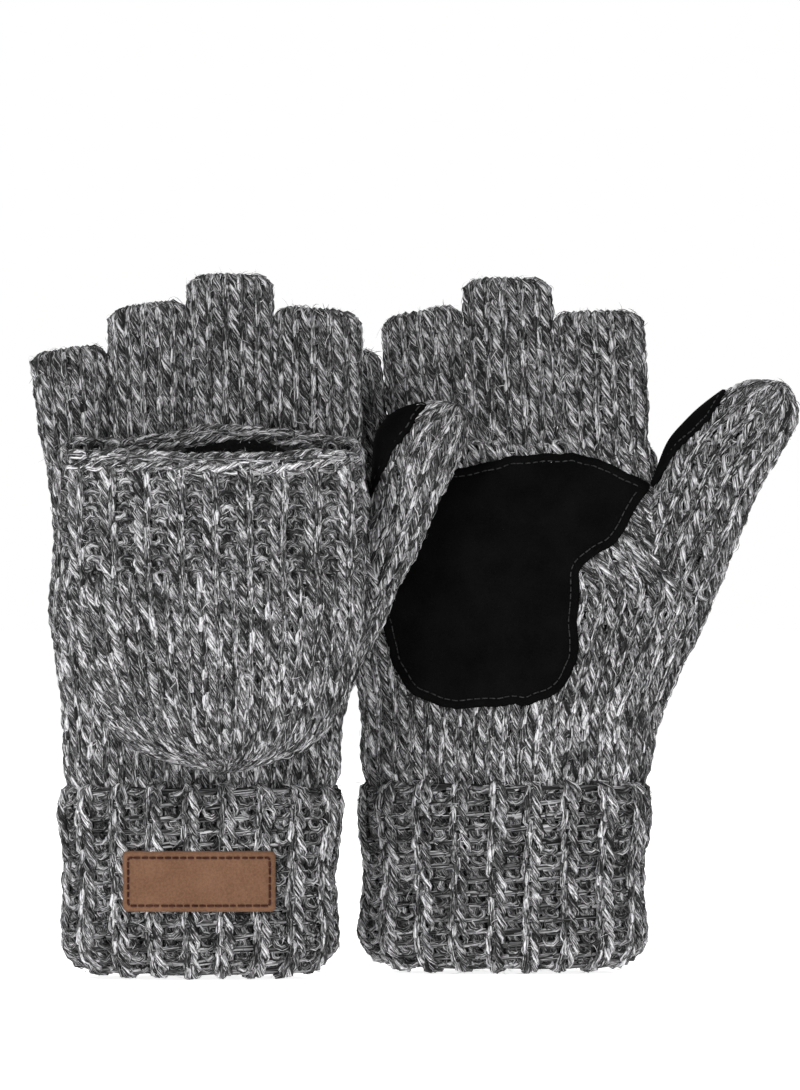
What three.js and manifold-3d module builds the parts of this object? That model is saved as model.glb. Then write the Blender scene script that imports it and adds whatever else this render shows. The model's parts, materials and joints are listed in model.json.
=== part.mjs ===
// Convertible flip-top mittens: a pair of fingerless knitted gloves, each with a mitten cap
// that hinges at the knuckles, a turned-up cuff, suede grips and a leather label.
// Millimetres, +Z up. The pair stands on its cuffs. The left glove shows the back of the
// hand towards -Y, the right glove shows its palm, and both thumbs point towards +X.
// Inside one glove, u runs across the hand towards the thumb and v runs out of the back
// of the hand.
import * as THREE from "three";
import { mergeVertices } from "three/addons/utils/BufferGeometryUtils.js";
import Module from "manifold-3d";

const wasm = await Module();
wasm.setup();

// Driving dimensions.
const GAP = 0.3;
const KNIT = 3;
const CUFF_TOP = 63.3;
const WRIST = 66;
const KNUCKLE = 177;
const HINGE_V = 11.5;
const HINGE_Z = KNUCKLE + 0.5;
const SEAM = { low: -42, high: 50, radius: 1.2, sides: 8 };
const CAP_CLEARANCE = 1.9;
const CAP_KNIT = 2.2;
const CAP_DEPTH = 18.9;
const CAP_CENTRE_V = HINGE_V + GAP + CAP_DEPTH / 2;
const CAP_TIP = 68.7;
const CAP_EDGE = 173.3;
const RIB_BAND = 40;
const LINING = 1.2;
const LINING_DROP = 2;
const FINGER_DEPTH = 11;
const FINGER_KNIT = 2.6;
const FINGER_DROP = 4.2;
const FINGER_V = HINGE_V - FINGER_DROP - FINGER_DEPTH / 2;
const THUMB_V = -1.5;
const SUEDE = 1;
const LEATHER = 1.6;
const THREAD = 0.8;
const THREAD_INSET = 2;
const LEAN_START = 110;
const LEAN_END = 197;
const GUSSET = { start: 60, full: 110, fading: 134, end: 158 };
const THUMB_TURN = [0, 5, 10, 15];
const THUMB_ROOM = 3 * GAP + SUEDE + THREAD;
const ROOT_ROOM = 1.5;

// Cutting blocks are larger than what they cut: out from a glove's middle, to each side of it
// and above the hinge.
const CUT_DEPTH = 60;
const CUT_WIDTH = 90;
const CUT_ABOVE = 5;

// Sides of the polygon round each kind of tube, and how square its section is.
const HAND_SIDES = 20;
const FINGER_SIDES = 12;
const THUMB_SIDES = 16;
const HAND_SQUARENESS = 2.6;
const FINGER_SQUARENESS = 2.4;
const THUMB_SQUARENESS = 2.2;

// Each tube is a list of stations: [low u, high u, middle v, half depth, z].
const HAND = [
  [-45.8, 46, 0, 12.2, WRIST + GAP],
  [-45.6, 46.8, 0, 10.8, 84],
  [-48.5, 53.5, 0, 10.8, 104],
  [-50.6, 62.5, 0, 10.8, 121],
  [-50, 67.5, 0, 10.8, 133],
  [-49, 63, 0, 10.8, 146],
  [-49.6, 56.6, 0, 10.6, 158],
  [-53, 53.3, 1.4, 8, KNUCKLE - GAP],
];
const TURN_UP = [
  [-36, 34.5, 0, 11.5, 0],
  [-42.3, 41.3, 0, 14.6, 2.6],
  [-46.9, 46.1, 0, 17, 9],
  [-45.5, 44.6, 0, 16, 34],
  [-47.7, 47.6, 0, 17.4, 57],
  [-46.4, 46.4, 0, 16.4, CUFF_TOP],
];
const TURN_UP_WALL = 4.2;
const CUFF_INNER = [
  [-40.4, 40, 0, 11.2, 9],
  [-40.4, 40, 0, 11.2, 45],
  [-41.4, 41.2, 0, 12, WRIST],
];
const CAP = [
  [-13, 27.5, CAP_CENTRE_V, 5.5, 71.3],
  [-24, 37, CAP_CENTRE_V, 8, 77],
  [-34, 46.4, CAP_CENTRE_V, CAP_DEPTH / 2, 89],
  [-41.7, 53.2, CAP_CENTRE_V, CAP_DEPTH / 2, 112],
  [-46.4, 54.8, CAP_CENTRE_V, CAP_DEPTH / 2, 137],
  [-46.6, 55, CAP_CENTRE_V, CAP_DEPTH / 2, HINGE_Z - CAP_CLEARANCE],
];
const CAP_TIP_U = 6.8;
const LABEL = { low: -25.2, high: 24.9, bottom: 22.8, top: 42.7 };

// Fingers from little to index: across at the knuckles, across at the top, height of the top.
const FINGERS = {
  little_finger: [-52.8, -30, -56.2, -30.9, 209],
  ring_finger: [-29.6, -4.9, -30.5, -4.8, 223.8],
  middle_finger: [-4.5, 23.7, -4.4, 23.7, 233.5],
  index_finger: [24.1, 53, 24.1, 53.2, 222.3],
};

// The rim of a finger is rounded over this height, and gives up this much width and depth.
const FINGER_EDGE = 3.5;
const FINGER_NARROWING = 1.6;
const FINGER_THINNING = 0.6;

// The suede on the palm, as corners (u, z) of its outline.
const PALM_OUTLINE = [
  [-20, 168.5],
  [-4.2, 169.3],
  [7.1, 173],
  [26.1, 174.4],
  [38.6, 171.5],
  [45, 166.3],
  [48.5, 160.5],
  [42.7, 151],
  [40.3, 144.6],
  [32, 140],
  [25.6, 135],
  [23.1, 106],
  [18.1, 94.3],
  [8, 90.2],
  [-18.2, 88.5],
  [-30, 93.3],
  [-37, 105.3],
  [-38.5, 122],
  [-37.5, 152],
  [-31, 164],
];

// The suede on a thumb, as corners of its outline: the section of the thumb, and how far across
// it from the inner edge (0) to the outer edge (1). Below 0 the suede wraps round the edge.
const THUMB_OUTLINE = [
  [1, -0.2],
  [2, -0.25],
  [3, -0.25],
  [4, -0.3],
  [5, -0.5],
  [5, 0.12],
  [4, 0.26],
  [3, 0.36],
  [2, 0.4],
  [1, 0.34],
];

// The two gloves lie differently: the right one is spread wider, its fingers lean towards
// the little finger and its thumb stands further out. A thumb is a list of sections from
// root to tip, each [inner u, inner z, outer u, outer z, half depth].
const LEFT = {
  name: "left",
  x: -72.25,
  y: -13,
  back: -1,
  spread: 1,
  lean: 0,
  gusset: 0,
  tip: [82, 191],
  thumb: [
    [46, 143, 69, 133.5, 8.6],
    [56.5, 158.5, 75.6, 150.5, 8.8],
    [57.6, 170, 80.8, 161.4, 9.3],
    [58, 179.5, 85.6, 171.5, 9.3],
    [63.5, 187, 89, 179.8, 8],
    [73.5, 190.6, 88.6, 186.5, 5],
  ],
};
const RIGHT = {
  name: "right",
  x: 28.85,
  y: 13,
  back: 1,
  spread: 1.05,
  lean: 0.108,
  gusset: 4.5,
  tip: [93.3, 198],
  thumb: [
    [43, 151, 74.3, 135.5, 8.6],
    [50.8, 165.5, 80.6, 150.8, 9],
    [55.4, 178.4, 85.2, 161.8, 9.3],
    [64.5, 188.3, 91.2, 172, 9.3],
    [74, 195.4, 97, 181.8, 8],
    [81.5, 199.3, 99.4, 189.9, 5],
  ],
};

// Materials.
function finish(colour, roughness) {
  return new THREE.MeshStandardMaterial({ color: colour, roughness, metalness: 0 });
}
const WOOL = () => finish(0x5f5f63, 0.95);
const FLEECE = () => finish(0x101012, 1);
const BLACK_SUEDE = () => finish(0x161616, 0.9);
const GREY_THREAD = () => finish(0x3d3d3f, 0.8);
const BROWN_LEATHER = () => finish(0x86624d, 0.7);
const BROWN_THREAD = () => finish(0x4a2f24, 0.8);

// A closed surface through rows of points: a row is a ring, or one point that ends it.
function skin(rows, loop) {
  const positions = [];
  const starts = [];
  const index = [];
  for (const row of rows) {
    starts.push(positions.length / 3);
    for (const p of row) positions.push(p.x, p.y, p.z);
  }
  const last = loop ? rows.length : rows.length - 1;
  for (let i = 0; i < last; i++) {
    const j = (i + 1) % rows.length;
    const sides = Math.max(rows[i].length, rows[j].length);
    for (let k = 0; k < sides; k++) {
      const next = (k + 1) % sides;
      const a = starts[i] + (rows[i].length > 1 ? k : 0);
      const b = starts[i] + (rows[i].length > 1 ? next : 0);
      const c = starts[j] + (rows[j].length > 1 ? next : 0);
      const d = starts[j] + (rows[j].length > 1 ? k : 0);
      if (a !== b) index.push(a, b, c);
      if (c !== d) index.push(a, c, d);
    }
  }
  const geometry = new THREE.BufferGeometry();
  geometry.setAttribute("position", new THREE.Float32BufferAttribute(positions, 3));
  geometry.setIndex(index);
  return geometry;
}

// A flattened ring of points: `across` is its wide direction, its depth lies along Y.
function ring(section, grow, sides, squareness) {
  const points = [];
  for (let k = 0; k < sides; k++) {
    const angle = (2 * Math.PI * (k + 0.5)) / sides;
    const c = Math.cos(angle);
    const s = Math.sin(angle);
    const wide = (section.half + grow) * Math.sign(c) * Math.abs(c) ** (2 / squareness);
    const deep = (section.depth + grow) * Math.sign(s) * Math.abs(s) ** (2 / squareness);
    const point = section.centre.clone().addScaledVector(section.across, wide);
    point.y += deep;
    points.push(point);
  }
  return points;
}

function place(glove, u, v, z) {
  const lean = glove.lean * Math.max(0, Math.min(z, LEAN_END) - LEAN_START);
  return new THREE.Vector3(glove.x + glove.spread * u - lean, glove.y + glove.back * v, z);
}

function levelSections(glove, stations) {
  return stations.map(([low, high, v, depth, z]) => ({
    centre: place(glove, (low + high) / 2, v, z),
    across: new THREE.Vector3(1, 0, 0),
    half: (glove.spread * (high - low)) / 2,
    depth,
  }));
}

function thumbSections(glove) {
  return glove.thumb.map(([innerU, innerZ, outerU, outerZ, depth]) => {
    const y = glove.y + glove.back * THUMB_V;
    const inner = new THREE.Vector3(glove.x + innerU, y, innerZ);
    const outer = new THREE.Vector3(glove.x + outerU, y, outerZ);
    return {
      centre: inner.clone().lerp(outer, 0.5),
      across: outer.clone().sub(inner).normalize(),
      half: inner.distanceTo(outer) / 2,
      depth,
    };
  });
}

// A tube open at both ends.
function sleeve(sections, wall, sides, squareness) {
  const outer = sections.map((s) => ring(s, 0, sides, squareness));
  const inner = sections.map((s) => ring(s, -wall, sides, squareness));
  return skin([...outer, ...inner.reverse()], true);
}

// A pocket closed at its tip. `rising` is true when the tip is above the mouth.
function pocket(sections, tip, grow, wall, sides, squareness, rising) {
  const axis = tip.clone().sub(sections.at(rising ? -1 : 0).centre).normalize();
  const outer = sections.map((s) => ring(s, grow, sides, squareness));
  const inner = sections.map((s) => ring(s, grow - wall, sides, squareness));
  const outerTip = [tip.clone().addScaledVector(axis, grow)];
  const innerTip = [tip.clone().addScaledVector(axis, grow - wall)];
  const rows = rising
    ? [innerTip, ...inner.reverse(), ...outer, outerTip]
    : [outerTip, ...outer, ...inner.reverse(), innerTip];
  return skin(rows, false);
}

// A solid of the same outer shape, closed at both ends, for cutting.
function core(sections, grow, sides, squareness, tip) {
  const rows = sections.map((s) => ring(s, grow, sides, squareness));
  const end = tip ?? sections.at(-1).centre;
  return solid(skin([[sections[0].centre], ...rows, [end]], false));
}

function solid(geometry) {
  const bare = geometry.clone();
  bare.deleteAttribute("normal");
  bare.deleteAttribute("uv");
  const merged = mergeVertices(bare, 1e-4);
  return new wasm.Manifold(
    new wasm.Mesh({
      numProp: 3,
      vertProperties: new Float32Array(merged.attributes.position.array),
      triVerts: new Uint32Array(merged.index.array),
    }),
  );
}

function mesh(name, shape, material) {
  const made = shape.getMesh();
  const geometry = new THREE.BufferGeometry();
  geometry.setAttribute("position", new THREE.BufferAttribute(made.vertProperties, 3));
  geometry.setIndex(new THREE.BufferAttribute(made.triVerts, 1));
  geometry.computeVertexNormals();
  const part = new THREE.Mesh(geometry, material);
  part.name = name;
  return part;
}

// A prism whose outline is given as (x, z) corners, between two values of y.
function prism(corners, y0, y1) {
  const outline = new THREE.Shape(corners.map(([x, z]) => new THREE.Vector2(x, z)));
  const depth = Math.abs(y1 - y0);
  const geometry = new THREE.ExtrudeGeometry(outline, { depth, bevelEnabled: false });
  geometry.rotateX(Math.PI / 2);
  geometry.translate(0, Math.max(y0, y1), 0);
  return solid(geometry);
}

// The outline moved inwards by a distance. Corners run clockwise.
function inset(corners, distance) {
  return corners.map((corner, i) => {
    const before = new THREE.Vector2(...corners.at(i - 1));
    const after = new THREE.Vector2(...corners[(i + 1) % corners.length]);
    const along = after.sub(before).normalize();
    return [corner[0] + along.y * distance, corner[1] - along.x * distance];
  });
}

// A thin sheet that lies on a body inside an outline, and the line of thread along its edge.
function sheet(body, lift, thickness, cutter) {
  return body(lift + thickness).subtract(body(lift)).intersect(cutter);
}

function threadLine(body, lift, corners, y0, y1) {
  const outside = prism(inset(corners, THREAD_INSET), y0, y1);
  const inside = prism(inset(corners, THREAD_INSET + THREAD), y0, y1);
  return sheet(body, lift, THREAD, outside.subtract(inside));
}

// The gusset widens the hand towards the thumb's root and is gone again at the crotch.
function gussetShare(z) {
  const rising = (z - GUSSET.start) / (GUSSET.full - GUSSET.start);
  const falling = (GUSSET.end - z) / (GUSSET.end - GUSSET.fading);
  return THREE.MathUtils.clamp(Math.min(rising, falling), 0, 1);
}

function handSections(glove) {
  const widened = HAND.map(([low, high, v, depth, z]) => {
    return [low, high + glove.gusset * gussetShare(z), v, depth, z];
  });
  return levelSections(glove, widened);
}

// The hand: a tube cut back wherever the thumb turns, with room below the thumb's root too.
function hand(glove) {
  const tube = sleeve(handSections(glove), KNIT, HAND_SIDES, HAND_SQUARENESS);
  const sections = thumbSections(glove);
  const root = sections[0];
  const rootward = new THREE.Vector3(root.across.z, 0, -root.across.x);
  const lower = { ...root, centre: root.centre.clone().addScaledVector(rootward, ROOT_ROOM) };
  sections.unshift(lower);
  const swept = core(sections, THUMB_ROOM, THUMB_SIDES, THUMB_SQUARENESS, thumbTip(glove));
  const pivot = thumbPivot(glove);
  let shape = solid(tube);
  for (const turn of THUMB_TURN) {
    const turned = swept
      .translate(-pivot.x, -pivot.y, -pivot.z)
      .rotate(0, turn, 0)
      .translate(pivot.x, pivot.y, pivot.z);
    shape = shape.subtract(turned);
  }
  return mesh(glove.name + "_hand_shell", shape, WOOL());
}

function finger(glove, name) {
  const [baseLow, baseHigh, topLow, topHigh, top] = FINGERS[name];
  const depth = FINGER_DEPTH / 2;
  const stations = [
    [baseLow, baseHigh, FINGER_V, depth, KNUCKLE],
    [topLow, topHigh, FINGER_V, depth, top - FINGER_EDGE],
    [
      topLow + FINGER_NARROWING,
      topHigh - FINGER_NARROWING,
      FINGER_V,
      depth - FINGER_THINNING,
      top,
    ],
  ];
  const sections = levelSections(glove, stations);
  const tube = sleeve(sections, FINGER_KNIT, FINGER_SIDES, FINGER_SQUARENESS);
  return mesh(glove.name + "_" + name, solid(tube), WOOL());
}

function thumbPivot(glove) {
  return thumbSections(glove)[0].centre;
}

function thumbTip(glove) {
  return new THREE.Vector3(
    glove.x + glove.tip[0],
    glove.y + glove.back * THUMB_V,
    glove.tip[1],
  );
}

function thumb(glove) {
  const tube = pocket(
    thumbSections(glove),
    thumbTip(glove),
    0,
    KNIT,
    THUMB_SIDES,
    THUMB_SQUARENESS,
    true,
  );
  return mesh(glove.name + "_thumb_shell", solid(tube), WOOL());
}

// The suede that wraps the inner side of the thumb, with its thread.
function thumbPatch(glove) {
  const sections = thumbSections(glove);
  const corners = THUMB_OUTLINE.map(([index, share]) => {
    const { centre, across, half } = sections[index];
    const point = centre.clone().addScaledVector(across, half * (2 * share - 1));
    return [point.x, point.z];
  });
  const body = (grow) => core(sections, grow, THUMB_SIDES, THUMB_SQUARENESS, thumbTip(glove));
  const y0 = glove.y - CUT_DEPTH;
  const y1 = glove.y + CUT_DEPTH;
  const suede = sheet(body, GAP, SUEDE, prism(corners, y0, y1));
  const thread = threadLine(body, 2 * GAP + SUEDE, corners, y0, y1);
  return [
    mesh(glove.name + "_thumb_patch", suede, BLACK_SUEDE()),
    mesh(glove.name + "_thumb_patch_stitching", thread, GREY_THREAD()),
  ];
}

function palmPatch(glove) {
  const corners = PALM_OUTLINE.map(([u, z]) => {
    const p = place(glove, u, 0, z);
    return [p.x, p.z];
  });
  const body = (grow) => core(handSections(glove), grow, HAND_SIDES, HAND_SQUARENESS);
  const y0 = glove.y;
  const y1 = glove.y - glove.back * CUT_DEPTH;
  const suede = sheet(body, GAP, SUEDE, prism(corners, y0, y1));
  const thread = threadLine(body, 2 * GAP + SUEDE, corners, y0, y1);
  return [
    mesh(glove.name + "_palm_patch", suede, BLACK_SUEDE()),
    mesh(glove.name + "_palm_patch_stitching", thread, GREY_THREAD()),
  ];
}

// The ribbed cuff: an inner tube that belongs to the hand, and the turn-up folded over it.
function cuffs(glove) {
  const inner = levelSections(glove, CUFF_INNER);
  const outer = levelSections(glove, TURN_UP);
  return [
    mesh(
      glove.name + "_cuff_inner",
      solid(sleeve(inner, KNIT, HAND_SIDES, HAND_SQUARENESS)),
      WOOL(),
    ),
    mesh(
      glove.name + "_cuff_turnup",
      solid(sleeve(outer, TURN_UP_WALL, HAND_SIDES, HAND_SQUARENESS)),
      WOOL(),
    ),
  ];
}

function label(glove) {
  const left = glove.x + LABEL.low;
  const right = glove.x + LABEL.high;
  const corners = [
    [left, LABEL.top],
    [right, LABEL.top],
    [right, LABEL.bottom],
    [left, LABEL.bottom],
  ];
  const sections = levelSections(glove, TURN_UP);
  const body = (grow) => core(sections, grow, HAND_SIDES, HAND_SQUARENESS);
  const y0 = glove.y;
  const y1 = glove.y + glove.back * CUT_DEPTH;
  const leather = sheet(body, GAP, LEATHER, prism(corners, y0, y1));
  const thread = threadLine(body, 2 * GAP + LEATHER, corners, y0, y1);
  return [
    mesh(glove.name + "_label", leather, BROWN_LEATHER()),
    mesh(glove.name + "_label_stitching", thread, BROWN_THREAD()),
  ];
}

// The mitten cap hangs behind the hand. Its outer wall ends in a ribbed band at the mouth.
function cap(glove) {
  const sections = levelSections(glove, CAP);
  const tip = place(glove, CAP_TIP_U, CAP_CENTRE_V, CAP_TIP);
  const whole = solid(pocket(sections, tip, 0, CAP_KNIT, HAND_SIDES, HAND_SQUARENESS, false));
  const middle = glove.y + glove.back * CAP_CENTRE_V;
  const beyond = glove.y + glove.back * CUT_DEPTH;
  const side = (low, high, from) =>
    prism(
      [
        [glove.x - CUT_WIDTH, high],
        [glove.x + CUT_WIDTH, high],
        [glove.x + CUT_WIDTH, low],
        [glove.x - CUT_WIDTH, low],
      ],
      from,
      beyond,
    );
  const bandBottom = CAP_EDGE - RIB_BAND;
  const outerTop = side(bandBottom, HINGE_Z + CUT_ABOVE, middle);
  const bandZone = side(bandBottom + GAP, CAP_EDGE, middle + glove.back * GAP);
  const lining = pocket(
    sections,
    tip,
    -CAP_KNIT - GAP,
    LINING,
    HAND_SIDES,
    HAND_SQUARENESS,
    false,
  );
  const liningTop = side(CAP_EDGE - LINING_DROP, HINGE_Z + CUT_ABOVE, middle);
  return [
    mesh(glove.name + "_cap_shell", whole.subtract(outerTop), WOOL()),
    mesh(glove.name + "_cap_rib_band", whole.intersect(bandZone), WOOL()),
    mesh(glove.name + "_cap_lining", solid(lining).subtract(liningTop), FLEECE()),
  ];
}

// The cord of stitches that joins the cap to the hand, along the hinge line.
function knuckleSeam(glove) {
  const low = place(glove, SEAM.low, HINGE_V, HINGE_Z);
  const high = place(glove, SEAM.high, HINGE_V, HINGE_Z);
  const long = high.x - low.x;
  const cord = new THREE.CylinderGeometry(SEAM.radius, SEAM.radius, long, SEAM.sides);
  cord.rotateZ(Math.PI / 2);
  cord.translate((low.x + high.x) / 2, low.y, low.z);
  return mesh(glove.name + "_knuckle_seam", solid(cord), WOOL());
}

function glove(side) {
  return [
    hand(side),
    ...Object.keys(FINGERS).map((name) => finger(side, name)),
    thumb(side),
    ...thumbPatch(side),
    ...palmPatch(side),
    ...cuffs(side),
    ...label(side),
    ...cap(side),
    knuckleSeam(side),
  ];
}

const mittens = new THREE.Group();
mittens.name = "convertible_flip_top_mittens";
mittens.add(...glove(LEFT), ...glove(RIGHT));
export default mittens;
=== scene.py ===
"""Convertible flip-top mittens: knitted yarn, suede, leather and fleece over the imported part.

Every knitted piece is real yarn: one closed strand for each course, shaped into stitches
that follow the CAD node it stands for. Lengths are millimetres until a mesh is made.
"""

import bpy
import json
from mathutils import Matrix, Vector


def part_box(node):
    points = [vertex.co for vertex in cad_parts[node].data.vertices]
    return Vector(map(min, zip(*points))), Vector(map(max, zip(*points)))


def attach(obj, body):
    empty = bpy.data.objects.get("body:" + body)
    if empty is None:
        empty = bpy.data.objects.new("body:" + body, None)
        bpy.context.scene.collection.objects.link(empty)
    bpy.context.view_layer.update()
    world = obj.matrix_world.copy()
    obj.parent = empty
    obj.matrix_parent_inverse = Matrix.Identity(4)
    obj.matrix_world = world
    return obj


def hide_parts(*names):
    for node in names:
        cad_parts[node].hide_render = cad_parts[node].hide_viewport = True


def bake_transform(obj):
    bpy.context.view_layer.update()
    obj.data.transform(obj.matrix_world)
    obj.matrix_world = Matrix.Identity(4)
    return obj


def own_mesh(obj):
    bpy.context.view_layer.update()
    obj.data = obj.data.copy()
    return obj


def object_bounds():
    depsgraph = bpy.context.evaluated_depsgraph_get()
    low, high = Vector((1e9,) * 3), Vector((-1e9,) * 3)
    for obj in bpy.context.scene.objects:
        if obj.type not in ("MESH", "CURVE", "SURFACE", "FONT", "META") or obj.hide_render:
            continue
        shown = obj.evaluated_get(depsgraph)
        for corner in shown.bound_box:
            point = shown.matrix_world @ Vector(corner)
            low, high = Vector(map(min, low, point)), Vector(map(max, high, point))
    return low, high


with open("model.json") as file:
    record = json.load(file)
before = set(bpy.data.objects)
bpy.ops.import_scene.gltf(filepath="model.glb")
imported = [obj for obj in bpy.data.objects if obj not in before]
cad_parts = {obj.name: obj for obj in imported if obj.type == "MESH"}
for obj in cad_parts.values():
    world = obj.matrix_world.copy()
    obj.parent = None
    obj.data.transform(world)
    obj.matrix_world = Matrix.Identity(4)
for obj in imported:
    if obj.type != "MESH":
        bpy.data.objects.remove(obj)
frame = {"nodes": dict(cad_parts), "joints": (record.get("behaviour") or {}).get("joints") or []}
size_before = [list(corner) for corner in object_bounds()]

import json
from types import SimpleNamespace as Record

import bmesh
import bpy
import numpy as np
from mathutils import Vector
from mathutils.bvhtree import BVHTree

MM = 0.001
X, Y, Z = np.eye(3)
SIDES = {"left": -1, "right": 1}  # which way the back of the hand faces along Y
rng = np.random.default_rng(11)

# Knitting: one stitch is WALE wide and COURSE tall, and its yarn has a radius of YARN.
WALE = 5.75
COURSE = 4.2
YARN = 1.2
YARN_SIDES = 6
TWIST_LENGTH = 24.0  # the streaks of the yarn turn round it once in this length
STITCH_SAMPLES = 12
LOOP_DEPTH = 0.75  # how far a stitch bows in and out of the cloth
LOOP_BULGE = 0.235
LOOP_SKEW = 0.15
LOOP_HEIGHT = 1.02
PASSING = 0.16  # the share of a stitch in which its yarn passes on to the next one
RIB_RELIEF = 0.9
CREST = 0.65  # how far the stitches stand out of the CAD surface
SURFACE = CREST - YARN - LOOP_DEPTH
UNEVEN = (0.05, 0.22, 0.18)  # stray of a stitch across, along and out of the cloth

# Loose fibres: thin ribbons, FIBRES of them for each stitch.
FIBRES = 5.0
FIBRE_LENGTHS = (2.0, 4.8)
FIBRE_HALVES = 0.1 * np.array([0.4, 1.0, 1.0, 0.2])  # half widths along a fibre
FIBRE_STRAY = 0.45
FIBRE_LIFT = 0.3
FIBRE_FALL = 1.3

# A plain sheet lies behind the stitches, so that no light shows between them, and no wool
# reaches below the floor. Its colour, darker than the wool's, is painted shade for the yarn
# that lies in shadow behind the stitches.
LINER = -2.9
LINER_STEP = 3.0
LINER_COLUMNS = 80
FLOOR = 0.2

# A texture map of this name, with a band of it for each kind of face.
BAKE_MAP = "OFBake"
YARN_BAND = 0.9
LINER_BAND = (0.92, 0.94)
FIBRE_BAND = (0.96, 0.99)

# Tubes: points in a ring, the squareness of the rings, and stations above a cap's plain part.
RING_SAMPLES = 240
FLAT = 2.6
FLATTISH = 2.4
ROUNDISH = 2.2
TRIM = 0.2  # a CAD tube's first and last sections lie this far inside it
TOP_STATIONS = 16

# Sheets: how far in from the edge its rings lie, then the shares of what is left of the way
# out from the middle at which the other rings lie.
EDGE_STEPS = np.array([0.0, 0.0, 0.3, 0.7, 1.2, 1.7, 2.1, 2.5, 2.9, 3.5, 4.5])
INNER_SHARES = np.linspace(0.93, 0.002, 14)
EDGE_ROUNDING = 1.3  # the rounding of an edge is this many times as wide as it is thick
EDGE_TUCK = 1.6
GROOVE_WIDTH = 0.6
RAGGED_SCALE = 4

# Stitches: points along each, the share of the pitch it fills and how far it bows.
THREAD_RINGS = 6
THREAD_SIDES = 6
THREAD_SHARE = 0.68
THREAD_BOW = 0.3
THREAD_SINK = 0.6  # the thread lies this share of the groove's depth down in it


# --- reading the CAD nodes


def box_mm(node):
    low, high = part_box(node)
    return np.array(low) / MM, np.array(high) / MM


def middle_and_half(node):
    low, high = box_mm(node)
    return (low + high) / 2, (high - low) / 2


def cad_mesh(node):
    """A CAD node's vertices in millimetres and its edges."""
    mesh = frame["nodes"][node].data
    points = np.array([vertex.co for vertex in mesh.vertices]) / MM
    return points, np.array([edge.vertices[:] for edge in mesh.edges])


def tube(centres, across, axis, half, depth):
    """Sections of a tube along an axis, with half widths across it and half depths along Y."""
    ones = np.ones(len(centres))
    return Record(
        centre=np.array(centres),
        across=np.tile(across, (len(centres), 1)),
        axis=axis,
        half=ones * half,
        depth=ones * depth,
    )


def sections(node, origins, axis, across):
    """The sections of a CAD tube at places along its axis."""
    points, edges = cad_mesh(node)
    centres, halves, depths = [], [], []
    for origin in origins:
        height = (points - origin) @ axis
        a, b = edges[(height[edges[:, 0]] > 0) != (height[edges[:, 1]] > 0)].T
        share = height[a] / (height[a] - height[b])
        found = points[a] + share[:, None] * (points[b] - points[a])
        wide = (found - origin) @ across
        centre = origin + across * (wide.min() + wide.max()) / 2
        centre[1] = (found[:, 1].min() + found[:, 1].max()) / 2
        centres.append(centre)
        halves.append(np.ptp(wide) / 2)
        depths.append(np.ptp(found[:, 1]) / 2)
    return tube(centres, across, axis, halves, depths)


def level_sections(node, low, high, step=2.5):
    count = max(3, round((high - low) / step) + 1)
    return sections(node, [z * Z for z in np.linspace(low, high, count)], Z, X)


# --- tubes

KEYS = ("centre", "across", "half", "depth")  # what a tube holds for each of its sections


def picked(rows, which):
    """A tube made of copies of some sections of another."""
    return Record(axis=rows.axis, **{key: np.array(vars(rows)[key][which]) for key in KEYS})


def softened(rows, times=3):
    """The same tube with the corners between its CAD stations smoothed away."""
    out = picked(rows, slice(None))
    for values in (out.centre, out.half, out.depth):
        for _ in range(times):
            values[1:-1] = (values[:-2] + 2 * values[1:-1] + values[2:]) / 4
    return out


def joined(first, second):
    both = {key: np.concatenate([vars(first)[key], vars(second)[key]]) for key in KEYS}
    return Record(axis=first.axis, **both)


def rolled(rows, radius, turn, tuck, steps=7, at_end=True):
    """The tube with one end curled inwards through `turn` degrees and tucked in."""
    pick = -1 if at_end else 0
    out_way = rows.axis * (1 if at_end else -1)
    angles = np.radians(np.linspace(0, turn, steps + 1)[1:])
    inward = radius * (1 - np.cos(angles))
    along = radius * np.sin(angles)
    tail = np.linspace(0, tuck, 4)[1:]
    inward = np.concatenate([inward, np.full(len(tail), inward[-1])])
    along = np.concatenate([along, along[-1] - tail])
    extra = picked(rows, [pick] * len(along))
    extra.centre = extra.centre + along[:, None] * out_way
    extra.half = np.maximum(extra.half - inward, 1.0)
    extra.depth = np.maximum(extra.depth - inward, 0.6)
    if at_end:
        return joined(rows, extra)
    return joined(picked(extra, slice(None, None, -1)), rows)


def fading(distance, over, power=1.0):
    """1 at a distance of 0, falling to 0 over a length."""
    return np.clip(1 - distance / over, 0, 1) ** power


def bell(distance, width, power=2):
    return np.exp(-((distance / width) ** power))


# --- smooth skins


def ring_angles(half, depth, squareness):
    """Points of a flattened ring, evenly spaced round it, from the +across side."""
    angle = np.linspace(0, 2 * np.pi, 3 * RING_SAMPLES + 1)
    c, s = np.cos(angle), np.sin(angle)
    wide = half * np.sign(c) * np.abs(c) ** (2 / squareness)
    deep = depth * np.sign(s) * np.abs(s) ** (2 / squareness)
    length = running(np.hypot(np.diff(wide), np.diff(deep)))
    even = np.linspace(0, length[-1], RING_SAMPLES + 1)[:-1]
    return np.interp(even, length, wide), np.interp(even, length, deep)


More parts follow.
